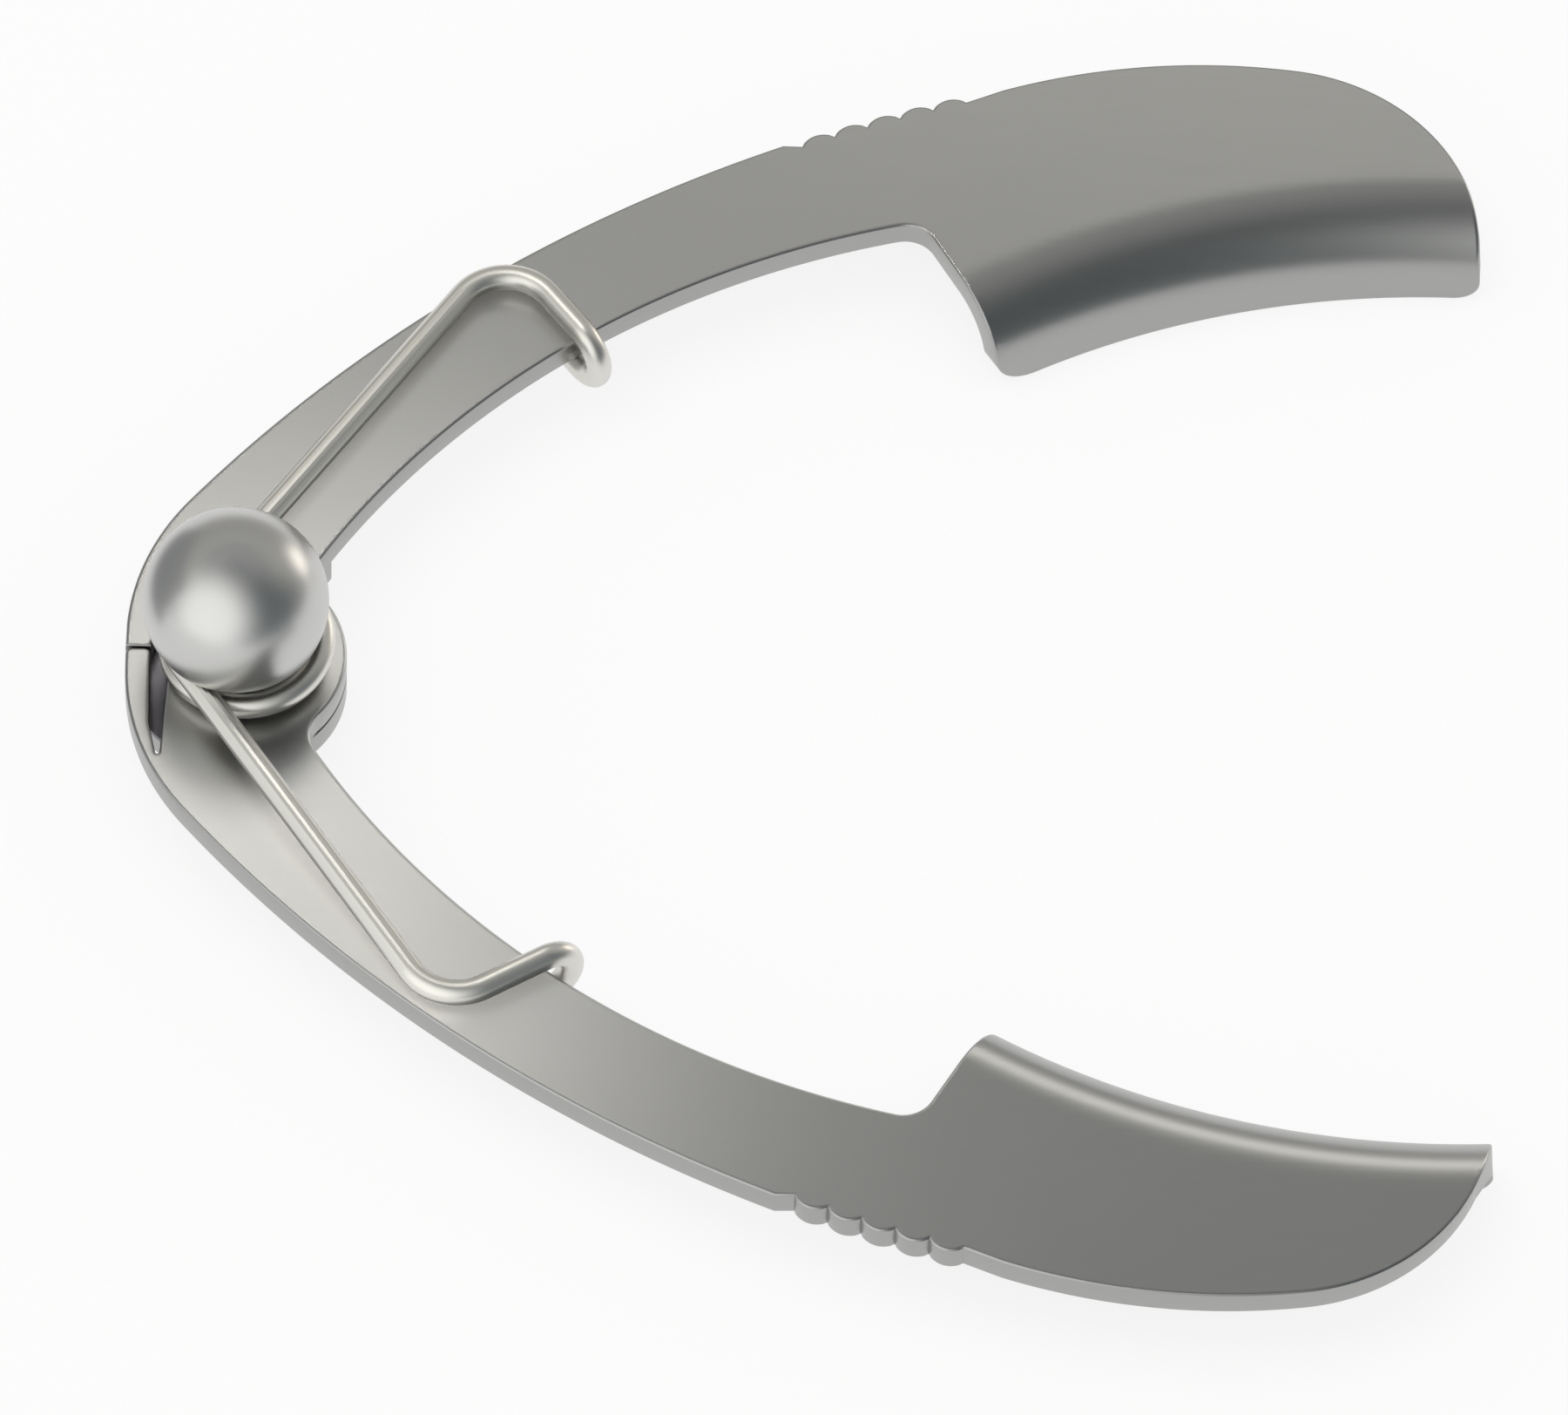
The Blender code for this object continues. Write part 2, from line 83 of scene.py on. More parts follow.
# Edges sharper than this stay sharp, and faces larger than this, in square millimetres, are flat
SHARP_ANGLE = math.radians(35)
FLAT_AREA = 0.5

# Sheet and hinge stack
SHEET = 0.85
LAP_GAP = 0.05
EYE_RADIUS = 3.05
HUB_CLEARANCE = 0.4
LAP_CLEARANCE = 0.1
LAP_INSET = 0.03
LOBE_END = math.radians(60)
DOUBLER_LAP = 1.45
NECK_FILLET = 1.0
WELL_START = math.radians(-80)
WELL_MARGIN = math.radians(3)
CLOSING_ANGLE = math.radians(44)

# Pin and ball
PIN_RADIUS = 1.1
PIN_CLEARANCE = 0.04
RIVET_RADIUS = 1.9
RIVET_HEAD = 0.4
RIVET_CHAMFER = 0.15
BALL_RADIUS = 2.57
BALL_RISE = 2.6
BALL_NECK = 1.35
BALL_BORE_DEPTH = 2.6

# Stop finger and heel
FINGER_WIDTH = 0.7
SLOT_DEPTH = 3.4
SLOT_BEND = 1.1
SLOT_LEAN = 0.2
SLOT_END = 0.1
SLOT_END_ROUND = 0.06
HUB_FLANK = math.radians(17)
STOP_GAP = 0.06
STOP_HEIGHT = 0.16
FINGER_ROUND = 0.2

# Arm outline
ROOT_ARC = 7.34
ROOT_ARC_RISE = 0.5
ROOT_ARC_TURN = math.radians(39.2)
OUTER_BOW = 43.0
OUTER_SWEEP = math.radians(34.75)
INNER_BOW = 25.8
ROOT_WIDTH = 4.2
NECK_WIDTH = 4.15

# Finger grips
GRIPS = 5
GRIP_PITCH = 0.98
GRIP_DEPTH = 0.22
GRIP_FULLNESS = 0.7

# Blade
LIP_BOW = 24.1
LIP_BEND = 2.25
LIP_DROP = 2.75
BLADE_LENGTH = 14.45
BLADE_BOW = 18.0
BLADE_CROWN_BACK = 1.6
TIP_ARC = 5.9
TIP_INSET = 4.8
TIP_CORNER = 0.7
LIP_CORNER = 1.2
BLADE_FILLET = 0.9
STEP_RUN = 1.1
LIP_SET_BACK = 2.35
LIP_CENTRE_BACK = 1.2

# Spring
WIRE_RADIUS = 0.35
COIL_RADIUS = 2.1
COIL_SHIFT = 0.3
COIL_CLEARANCE = 0.04
LEG_HEIGHT = 0.1
UPPER_LEG_REACH = 3.5
LOWER_LEG_REACH = 3.3
LEG_CORNER = 1.5
UPPER_HOOK_STATION = math.radians(28.4)
LOWER_HOOK_STATION = math.radians(30.5)
HOOK_RETURN = 0.6
HOOK_FULLNESS = 0.999
UPPER_HOOK_SKEW = math.radians(2)
LOWER_HOOK_SKEW = math.radians(22)

# Steps in which the curves are drawn
FILLET_STEPS = 10
GRIP_STEPS = 10
BOW_STEPS = 48
CROWN_STEPS = 32
OUTER_STEPS = 40
ROOT_STEPS = 20
HEEL_STEPS = 24
HUB_STEPS = 48
EYE_STEPS = 40
DOUBLER_STEPS = 20
PLATE_ROOT_STEPS = 12
PLATE_EYE_STEPS = 72
PLATE_BOW_STEPS = 8
WELL_STEPS = 48
PIN_SIDES = 96
BALL_SIDES = 128
BALL_STEPS = 72
COIL_STEPS = 120
BEND_STEPS = 16
WIRE_RESOLUTION = 10

# The hinge in plan
HEEL_BORE = EYE_RADIUS - FINGER_WIDTH
HUB_RADIUS = HEEL_BORE - HUB_CLEARANCE
DOUBLER_REACH = EYE_RADIUS + DOUBLER_LAP

# Levels
LOW_BOTTOM = RIVET_HEAD + LAP_GAP
LOW_TOP = LOW_BOTTOM + SHEET
TOP_BOTTOM = LOW_TOP + LAP_GAP
TOP = TOP_BOTTOM + SHEET
COIL_LOW = TOP + COIL_CLEARANCE + WIRE_RADIUS
COIL_HIGH = COIL_LOW + 2 * WIRE_RADIUS + COIL_CLEARANCE / 2
BALL_SEAT = COIL_HIGH + WIRE_RADIUS + COIL_CLEARANCE
BALL_CENTRE = TOP + BALL_RISE

PIN_AXIS = Vector((0, 0))

# Noise that the steel's colour drifts by, and noise for its polishing lines and their height
DRIFT = {"Scale": 140, "Detail": 2, "Roughness": 0.5}
LINES = {"Scale": 1000, "Detail": 3, "Roughness": 0.6}
LINE_HEIGHT = 0.01

# How much the lines change the roughness, how they are drawn out on each axis, and their strength
SATIN_LINES = (0.06, (0.4, 6, 6), 0.03)
BALL_LINES = (0.02, (1, 1, 8), 0.02)
WIRE_LINES = (0.03, (1, 1, 1), 0.012)

# Painted shade on the steel under the stop finger's slot, where shade falls in the recess: its
# dark colour, and where it fades in, across and upwards
LAP_SHADE = (0.14, 0.135, 0.15)
LAP_SHADE_START = -1.2
LAP_SHADE_FULL = -1.6
LAP_SHADE_BOTTOM = LOW_TOP - 0.2
LAP_SHADE_TOP = LOW_TOP - 0.1

# The world's light, the floor's reach in metres, and its share of white where it is seen
WORLD_LIGHT = 0.9
FLOOR_REACH = 3
FLOOR_WHITE = 0.84

# The light tent: its colours in front and behind by height, from the floor (0) to overhead (1),
# and how far behind the pin the one turns to the other, as parts of its radius
TENT_RADIUS = 130
TENT_SEGMENTS = 64
TENT_RINGS = 32
TENT_FRONT = [
    (0.0, (0.18, 0.20, 0.21)),
    (0.6, (0.13, 0.15, 0.16)),
    (0.88, (0.13, 0.14, 0.15)),
    (1.0, (0.22, 0.23, 0.23)),
]
TENT_BEHIND = [
    (0.0, (0.46, 0.45, 0.43)),
    (0.35, (0.40, 0.40, 0.38)),
    (0.62, (0.48, 0.48, 0.46)),
    (0.73, (0.54, 0.54, 0.52)),
    (0.83, (0.31, 0.32, 0.32)),
    (0.91, (0.50, 0.50, 0.49)),
    (1.0, (0.20, 0.22, 0.23)),
]
TENT_TURN = (-0.3, 0.35)

# The soft glows on the tent, each with its place, its reach and its colour, and the parts of the
# reach where a glow starts and is full
GLOWS = [
    ((-0.52, -0.72, 0.48), (1.10, 1.08, 1.08), (1.22, 1.21, 1.17)),
    ((0.80, 0.58, 0.06), (0.30, 0.30, 0.34), (2.30, 2.16, 1.92)),
]
GLOW_FADE = (1.0, 0.4)

# The softboxes, each with the way to it, its distance, its width and height and its brightness
OVERHEAD_BOX = ((-0.35, 0.1, 1), 400, 300, 300, 1.1)
OVERHEAD_AIM = (15, 0, 0)
REAR_BOX = ((-2, 33, 49), 60, 20, 25, 2.2)
REAR_AIM = (0, -9, TOP)
CREST_BOX = ((0.22, 0.88, 0.46), 55, 58, 18, 1.4)
CREST_AIM = (29, -13, TOP)
BLADE_BOX = ((0.04, 0.58, 0.81), 60, 46, 24, 0.5)
BLADE_AIM = (28, 25, TOP)
SOFTBOX_COLOUR = (1.0, 0.975, 0.925)

# The grey flag that the ball mirrors on its left: its centre, length, height and colour
FLAG_CENTRE = (-12, 10, 6.5)
FLAG_SIZE = (24, 13)
FLAG_COLOUR = (0.30, 0.31, 0.31)

# Rays that don't see the tent and the flag
BLIND_RAYS = ("camera", "diffuse", "transmission", "shadow", "volume_scatter")

# The camera's sensor, in millimetres, and the nearest and farthest that it sees, in metres
SENSOR_WIDTH = 36
CAMERA_NEAR = 0.01
CAMERA_FAR = 10


def polar(centre, radius, angle):
    """The point at that radius and angle about the centre."""
    return Vector((centre[0] + radius * math.cos(angle), centre[1] + radius * math.sin(angle)))


def arc(centre, radius, start, end, steps):
    """Points on an arc, both ends included."""
    return [polar(centre, radius, start + (end - start) * i / steps) for i in range(steps + 1)]


def circle_centre(a, b, radius):
    """Centre of the circle through a and b that lies to the right of the way from a to b."""
    half = (b - a) / 2
    side = Vector((half.y, -half.x)).normalized()
    return (a + b) / 2 + side * math.sqrt(radius**2 - half.length_squared)


def angle_about(centre, point):
    """Angle of the point as seen from the centre, from 0 to a whole turn."""
    return math.atan2(point.y - centre.y, point.x - centre.x) % (2 * math.pi)


def rounding(back, apex, on, opening, steps):
    """Points of the arc that rounds an apex, from its start to its end."""
    points = []
    for i in range(steps + 1):
        t = i / steps
        a, b, c = (1 - t) ** 2, 2 * t * (1 - t) * math.sin(opening / 2), t**2
        points.append((back * a + apex * b + on * c) / (a + b + c))
    return points


def fillet(points, corner, radius):
    """The closed outline with the corner nearest to the given point rounded."""
    count = len(points)
    at = min(range(count), key=lambda i: (points[i] - corner).length)
    apex = points[at]

    def walk(way, reach):
        here = apex
        i = at
        while True:
            i = (i + way) % count
            step = points[i] - here
            if step.length >= reach:
                return here + step.normalized() * reach, i
            reach -= step.length
            here = points[i]

    opening = (walk(-1, radius)[0] - apex).angle(walk(1, radius)[0] - apex)
    reach = radius / math.tan(opening / 2)
    back, before = walk(-1, reach)
    on, after = walk(1, reach)
    kept = []
    i = after
    while True:
        kept.append(points[i])
        if i == before:
            break
        i = (i + 1) % count
    return rounding(back, apex, on, opening, FILLET_STEPS) + kept


# The two bows of an arm
ROOT_CENTRE = Vector((ROOT_ARC - EYE_RADIUS, ROOT_ARC_RISE))
JOIN_ANGLE = math.pi - ROOT_ARC_TURN
OUTER_CENTRE = polar(ROOT_CENTRE, ROOT_ARC - OUTER_BOW, JOIN_ANGLE)
NECK_ANGLE = JOIN_ANGLE - OUTER_SWEEP
INNER_ROOT = polar(OUTER_CENTRE, OUTER_BOW - ROOT_WIDTH, JOIN_ANGLE)
INNER_NECK = polar(OUTER_CENTRE, OUTER_BOW - NECK_WIDTH, NECK_ANGLE)
INNER_CENTRE = circle_centre(INNER_ROOT, INNER_NECK, INNER_BOW)
OUTER_NECK = polar(OUTER_CENTRE, OUTER_BOW, NECK_ANGLE)

# The blade, placed from the arm's neck
BLADE_END = OUTER_NECK.x + BLADE_LENGTH
TIP_CENTRE = Vector((BLADE_END - TIP_ARC, OUTER_NECK.y - TIP_INSET))
LIP_CENTRE = Vector((BLADE_END - LIP_CENTRE_BACK, TIP_CENTRE.y - LIP_BOW))
BEND_START = LIP_BOW + LIP_BEND
LIP_EDGE = BEND_START - LIP_BEND * math.pi / 2 - (LIP_DROP - LIP_BEND)
BLADE_CENTRE = TIP_CENTRE - Vector(
    (BLADE_CROWN_BACK, math.sqrt((BLADE_BOW - TIP_ARC) ** 2 - BLADE_CROWN_BACK**2))
)
TIP_JOIN = angle_about(BLADE_CENTRE, TIP_CENTRE)
NOTCH_ANGLE = angle_about(INNER_CENTRE, INNER_NECK) + LIP_SET_BACK / INNER_BOW

# The sheet to the right of this may curl, and the blade is cut small between these limits
CURL_LEFT = INNER_NECK.x - 2 * LIP_BEND
CUT_LEFT = INNER_NECK.x - LIP_BEND
CUT_LOW = TIP_CENTRE.y - 3 * LIP_BEND
CUT_HIGH = OUTER_NECK.y + BLADE_CROWN_BACK


def crossing(centre, radius, reach):
    """Angle about the centre where its circle, on the arm's side, is that reach from the pin."""
    far = centre.length
    cosine = (far**2 + radius**2 - reach**2) / (2 * far * radius)
    return angle_about(centre, PIN_AXIS) - math.acos(cosine)


def grip_edge():
    """Bumps along the outer bow, from the blade's end back towards the root."""
    pitch = GRIP_PITCH / OUTER_BOW
    notch = OUTER_BOW - GRIP_DEPTH
    points = []
    for grip in range(GRIPS):
        for i in range(GRIP_STEPS):
            turn = i / GRIP_STEPS
            rise = GRIP_DEPTH * math.sin(math.pi * turn) ** GRIP_FULLNESS
            points.append(polar(OUTER_CENTRE, notch + rise, NECK_ANGLE + pitch * (grip + turn)))
    points.append(polar(OUTER_CENTRE, notch, NECK_ANGLE + GRIPS * pitch))
    return points


def blade_and_arm_edge():
    """From the hinge out along the inner bow, round the blade and back along the outer bow."""
    notch = polar(INNER_CENTRE, INNER_BOW, NOTCH_ANGLE)
    left = angle_about(LIP_CENTRE, notch)
    start = math.acos((OUTER_NECK.x + STEP_RUN - BLADE_CENTRE.x) / BLADE_BOW)
    grips_end = NECK_ANGLE + (GRIPS + 0.5) * GRIP_PITCH / OUTER_BOW
    root = crossing(INNER_CENTRE, INNER_BOW, EYE_RADIUS)
    edge = arc(INNER_CENTRE, INNER_BOW, root, NOTCH_ANGLE, BOW_STEPS)
    lip_left = polar(LIP_CENTRE, LIP_EDGE, left)
    lip_rise = math.sqrt(LIP_EDGE**2 - LIP_CENTRE_BACK**2)
    lip_right = Vector((BLADE_END, LIP_CENTRE.y + lip_rise))
    edge += arc(LIP_CENTRE, LIP_EDGE, left, angle_about(LIP_CENTRE, lip_right), BOW_STEPS)
    edge += arc(TIP_CENTRE, TIP_ARC, 0, TIP_JOIN, CROWN_STEPS)
    edge += arc(BLADE_CENTRE, BLADE_BOW, TIP_JOIN, start, CROWN_STEPS)[1:]
    edge += grip_edge()
    edge += arc(OUTER_CENTRE, OUTER_BOW, grips_end, JOIN_ANGLE, OUTER_STEPS)
    edge += arc(ROOT_CENTRE, ROOT_ARC, JOIN_ANGLE, math.pi, ROOT_STEPS)[1:]
    return edge, [(notch, BLADE_FILLET), (lip_left, LIP_CORNER), (lip_right, TIP_CORNER)]


def upper_outline():
    """The upper arm's sheet runs from its heel to the blade and ends in an arc round the lap."""
    edge, corners = blade_and_arm_edge()
    lap = EYE_RADIUS + LAP_CLEARANCE
    swing_end = LOBE_END + CLOSING_ANGLE + WELL_MARGIN
    heel = STOP_HEIGHT + STOP_GAP
    heel_end = math.pi - math.asin(heel / HEEL_BORE)
    edge = [point for point in edge if point.length > lap]
    root = polar(INNER_CENTRE, INNER_BOW, crossing(INNER_CENTRE, INNER_BOW, lap))
    edge.append(Vector((-EYE_RADIUS, heel)))
    edge += reversed(arc(PIN_AXIS, HEEL_BORE, swing_end, heel_end, HEEL_STEPS))
    edge += reversed(arc(PIN_AXIS, lap, angle_about(PIN_AXIS, root), swing_end, HEEL_STEPS))
    for corner, radius in corners:
        edge = fillet(edge, corner, radius)
    return edge


def lower_outline():
    """The lower arm carries the hub, its lobe, and the stop finger beyond a tapering slot."""
    edge, corners = blade_and_arm_edge()
    eye = edge[0]
    slot_left = -HEEL_BORE + SLOT_LEAN
    finger_tip = [Vector((-EYE_RADIUS, -STOP_HEIGHT)), Vector((-HEEL_BORE, -STOP_HEIGHT))]
    slot_end = [
        Vector((slot_left, SLOT_DEPTH - SLOT_END)),
        Vector((slot_left + SLOT_END, SLOT_DEPTH)),
    ]
    edge += finger_tip + [Vector((-HEEL_BORE, SLOT_DEPTH - SLOT_BEND))] + slot_end
    edge += arc(PIN_AXIS, HUB_RADIUS, math.pi - HUB_FLANK, 2 * math.pi - LOBE_END, HUB_STEPS)
    edge += arc(PIN_AXIS, EYE_RADIUS, -LOBE_END, angle_about(PIN_AXIS, eye), EYE_STEPS)[:-1]
    corners = corners + [(corner, FINGER_ROUND) for corner in finger_tip]
    corners += [(corner, SLOT_END_ROUND) for corner in slot_end]
    corners.append((eye, NECK_FILLET))
    for corner, radius in corners:
        edge = fillet(edge, corner, radius)
    return edge


def lap_plate_outline():
    """The upper arm's eye and the doubler that carries it from under the arm."""
    root_arc = ROOT_ARC - LAP_INSET
    inner_bow = INNER_BOW + LAP_INSET
    eye_start = crossing(INNER_CENTRE, inner_bow, EYE_RADIUS)
    inner_end = crossing(INNER_CENTRE, inner_bow, DOUBLER_REACH)
    outer_end = crossing(ROOT_CENTRE, root_arc, DOUBLER_REACH)
    eye = polar(INNER_CENTRE, inner_bow, eye_start)
    eye_angle = angle_about(PIN_AXIS, eye)
    inner_angle = angle_about(PIN_AXIS, polar(INNER_CENTRE, inner_bow, inner_end))
    outer_angle = angle_about(PIN_AXIS, polar(ROOT_CENTRE, root_arc, outer_end))
    outline = arc(PIN_AXIS, DOUBLER_REACH, inner_angle, outer_angle, DOUBLER_STEPS)
    outline += arc(ROOT_CENTRE, root_arc, outer_end, math.pi, PLATE_ROOT_STEPS)[1:]
    outline += arc(PIN_AXIS, EYE_RADIUS, math.pi, 2 * math.pi + eye_angle, PLATE_EYE_STEPS)
    outline += arc(INNER_CENTRE, inner_bow, eye_start, inner_end, PLATE_BOW_STEPS)[1:-1]
    return fillet(outline, eye, NECK_FILLET)


def lap_well_outline():
    """What the doubler clears: the hub, and its lobe over the whole swing."""
    swing_end = LOBE_END + CLOSING_ANGLE + WELL_MARGIN
    lap = EYE_RADIUS + LAP_CLEARANCE + LAP_INSET
    bore = HEEL_BORE + LAP_INSET
    heel = STOP_HEIGHT + STOP_GAP + LAP_INSET
    outline = arc(PIN_AXIS, lap, WELL_START, swing_end, WELL_STEPS)
    outline += arc(PIN_AXIS, bore, swing_end, math.pi - math.asin(heel / bore), HEEL_STEPS)
    return outline + [Vector((-DOUBLER_REACH, heel)), Vector((-DOUBLER_REACH, -DOUBLER_REACH))]


def pin_hole_outline():
    """The hole that clears the pin."""
    last = 2 * math.pi * (1 - 1 / PIN_SIDES)
    return arc(PIN_AXIS, PIN_RADIUS + PIN_CLEARANCE, 0, last, PIN_SIDES - 1)


def inset(built, face, thickness, depth=0):
    """Insets the face by a thickness and lifts it by a depth."""
    bmesh.ops.inset_region(
        built, faces=[face], use_boundary=True, use_even_offset=True,
        thickness=thickness, depth=depth,
    )


def rounded_plate(built, outline, bottom, top, edge_round, steps):
    """A flat sheet on an outline. Its wall is extruded from the middle, its rim is inset step by
    step round a quarter turn, and one last narrow inset keeps the flat face flat."""
    middle = (bottom + top) / 2
    rim = [built.verts.new((point.x, point.y, middle)) for point in outline]
    sheet = built.faces.new(rim)
    if sheet.normal.z < 0:
        sheet.normal_flip()
    sheet.normal_update()
    wall = bmesh.ops.extrude_face_region(built, geom=[sheet], use_keep_orig=False)
    lifted = [item for item in wall["geom"] if isinstance(item, bmesh.types.BMVert)]
    face = next(item for item in wall["geom"] if isinstance(item, bmesh.types.BMFace))
    bmesh.ops.translate(built, verts=lifted, vec=(0, 0, top - edge_round - middle))
    built.normal_update()
    if face.normal.z < 0:
        face.normal_flip()
    for i in range(steps):
        before = math.pi / 2 * i / steps
        after = math.pi / 2 * (i + 1) / steps
        inward = edge_round * (math.cos(before) - math.cos(after))
        inset(built, face, inward, edge_round * (math.sin(after) - math.sin(before)))
    inset(built, face, edge_round / 2)
    level = middle + CLOSE
    below = [other for other in built.faces if all(v.co.z < level for v in other.verts)]
    bmesh.ops.delete(built, geom=below, context="FACES_ONLY")
    bmesh.ops.mirror(
        built, geom=built.verts[:] + built.edges[:] + built.faces[:],
        matrix=Matrix.Translation((0, 0, -middle)), merge_dist=CLOSE, axis="Z",
    )
    bmesh.ops.remove_doubles(built, verts=built.verts, dist=CLOSE)
    bmesh.ops.recalc_face_normals(built, faces=built.faces)


def link_mesh(name, built):
    """A new object from the bmesh, which is used up."""
    mesh = bpy.data.meshes.new(name)
    built.to_mesh(mesh)
    built.free()
    obj = bpy.data.objects.new(name, mesh)
    bpy.context.scene.collection.objects.link(obj)
    return obj


def plate_object(context, name, outline, bottom, top):
    """A rounded plate with the edges that the panel's sizes ask for."""
    sizes = context.scene.speculum_sizes
    built = bmesh.new()
    rounded_plate(built, outline, bottom, top, sizes.edge_round / MM, sizes.edge_steps)
    return link_mesh(name, built)


def prism_object(name, outline, bottom, top):
    """A solid with a straight wall on an outline, to cut with."""
    built = bmesh.new()
    base = built.faces.new([built.verts.new((point.x, point.y, bottom)) for point in outline])
    grown = bmesh.ops.extrude_face_region(built, geom=[base])
    lifted = [item for item in grown["geom"] if isinstance(item, bmesh.types.BMVert)]
    bmesh.ops.translate(built, verts=lifted, vec=(0, 0, top - bottom))
    bmesh.ops.recalc_face_normals(built, faces=built.faces)
    return link_mesh(name, built)


def boolean(obj, other, operation):
    """Joins or cuts with the other object, which is used up."""
    step = obj.modifiers.new(operation.lower(), "BOOLEAN")
    step.operation = operation
    step.object = other
    step.solver = "EXACT"
    bpy.context.view_layer.update()
    evaluated = obj.evaluated_get(bpy.context.evaluated_depsgraph_get())
    result = bpy.data.meshes.new_from_object(evaluated)
    obj.modifiers.clear()
    obj.data = result
    bpy.data.objects.remove(other)


def curl_lip(built):
    """Rolls the sheet's lip down round the bend: a quarter turn, then straight."""
    for vertex in built.verts:
        flat = vertex.co.xy - LIP_CENTRE
        past = BEND_START - flat.length
        if past <= 0 or vertex.co.x < CURL_LEFT:
            continue
        radius = LIP_BEND - (TOP - vertex.co.z)
        turn = min(past / LIP_BEND, math.pi / 2)
        straight = past - turn * LIP_BEND
        place = LIP_CENTRE + flat.normalized() * (BEND_START - radius * math.sin(turn))
        vertex.co = (*place, TOP - LIP_BEND + radius * math.cos(turn) - straight)


def divide_blade(built, step):
    """Cuts the blade into small faces, so that its lip rolls smoothly."""
    for axis, first, last in ((0, CUT_LEFT, BLADE_END), (1, CUT_LOW, CUT_HIGH)):
        for i in range(1, int((last - first) / step)):
            place = Vector((0, 0, 0))
            place[axis] = first + i * step
            across = Vector((0, 0, 0))
            across[axis] = 1
            near = [
                face for face in built.faces
                if face.calc_center_bounds().x > CUT_LEFT - step
                or max(v.co.x for v in face.verts) > CUT_LEFT
            ]
            geometry = set(near)
            for face in near:
                geometry.update(face.verts)
                geometry.update(face.edges)
            bmesh.ops.bisect_plane(
                built, geom=list(geometry), dist=CLOSE, plane_co=place, plane_no=across
            )


def finish_arm(obj, mirrored, step):
    """Rolls the blade's lip, and turns the arm over to the lower side where it is asked for."""
    built = bmesh.new()
    built.from_mesh(obj.data)
    divide_blade(built, step)
    curl_lip(built)
    if mirrored:
        bmesh.ops.scale(built, verts=built.verts, vec=(1, -1, 1))
    bmesh.ops.remove_doubles(built, verts=built.verts, dist=CLOSE)
    bmesh.ops.recalc_face_normals(built, faces=built.faces)
    built.to_mesh(obj.data)
    built.free()


class Socket:
    """An output socket. Arithmetic on it adds Math nodes to its tree."""

    def __init__(self, graph, socket):
        self.graph = graph
        self.socket = socket

    def maths(self, operation, first, second):
        return self.graph.add("ShaderNodeMath", {"operation": operation}, {0: first, 1: second})

    def __add__(self, other):
        return self.maths("ADD", self, other)

    __radd__ = __add__

    def __sub__(self, other):
        return self.maths("SUBTRACT", self, other)

    def __rsub__(self, other):
        return self.maths("SUBTRACT", other, self)

    def __mul__(self, other):
        return self.maths("MULTIPLY", self, other)

    __rmul__ = __mul__


class Graph:
    """A node tree that is built by adding nodes."""

    def __init__(self, tree):
        self.tree = tree
        tree.nodes.clear()

    def add(self, kind, settings=None, sockets=None, output=0):
        """A node of that kind with its settings and sockets; returns one of its outputs."""
        node = self.tree.nodes.new(kind)
        for name, value in (settings or {}).items():
            if name == "stops":
                stops = node.color_ramp.elements
                stops.remove(stops[1])
                stops[0].position = value[0][0]
                stops[0].color = (*value[0][1], 1)
                for place, colour in value[1:]:
                    stops.new(place).color = (*colour, 1)
            else:
                setattr(node, name, value)
        for name, value in (sockets or {}).items():
            if isinstance(value, Socket):
                self.tree.links.new(value.socket, node.inputs[name])
            else:
                node.inputs[name].default_value = value
        return Socket(self, node.outputs[output]) if node.outputs else node

    def part(self, vector, axis):
        """One number of a vector, named X, Y or Z."""
        return self.add("ShaderNodeSeparateXYZ", {}, {0: vector}, axis)

    def fade(self, value, start, end, shape="LINEAR"):
        """From 0 to 1 as the value goes from start to end."""
        sockets = {0: value, 1: start, 2: end}
        return self.add("ShaderNodeMapRange", {"interpolation_type": shape}, sockets)

    def mix(self, factor, first, second):
        """The first colour where the factor is 0 and the second where it is 1."""
        sockets = {0: factor, 6: first, 7: second}
        return self.add("ShaderNodeMix", {"data_type": "RGBA"}, sockets, 2)

    def vector(self, operation, first, second, output="Vector"):
        """Vector Math on one or two vectors."""
        sockets = {0: first, 1: second}
        return self.add("ShaderNodeVectorMath", {"operation": operation}, sockets, output)


def new_material(name):
    """A material and its empty graph."""
    material = bpy.data.materials.new(name)
    material.use_nodes = True
    return material, Graph(material.node_tree)


def lap_shade(graph, place):
    """Mask of the painted shade: 1 on the lowered eye's top under the stop finger's slot, and 0
    elsewhere.
    """
    height = graph.part(place, "Z")
    left = graph.fade(graph.part(place, "X"), LAP_SHADE_START * MM, LAP_SHADE_FULL * MM)
    low = graph.fade(height, TOP_BOTTOM * MM, LOW_TOP * MM)
    upper = graph.fade(height, LAP_SHADE_BOTTOM * MM, LAP_SHADE_TOP * MM)
    return left * low * upper


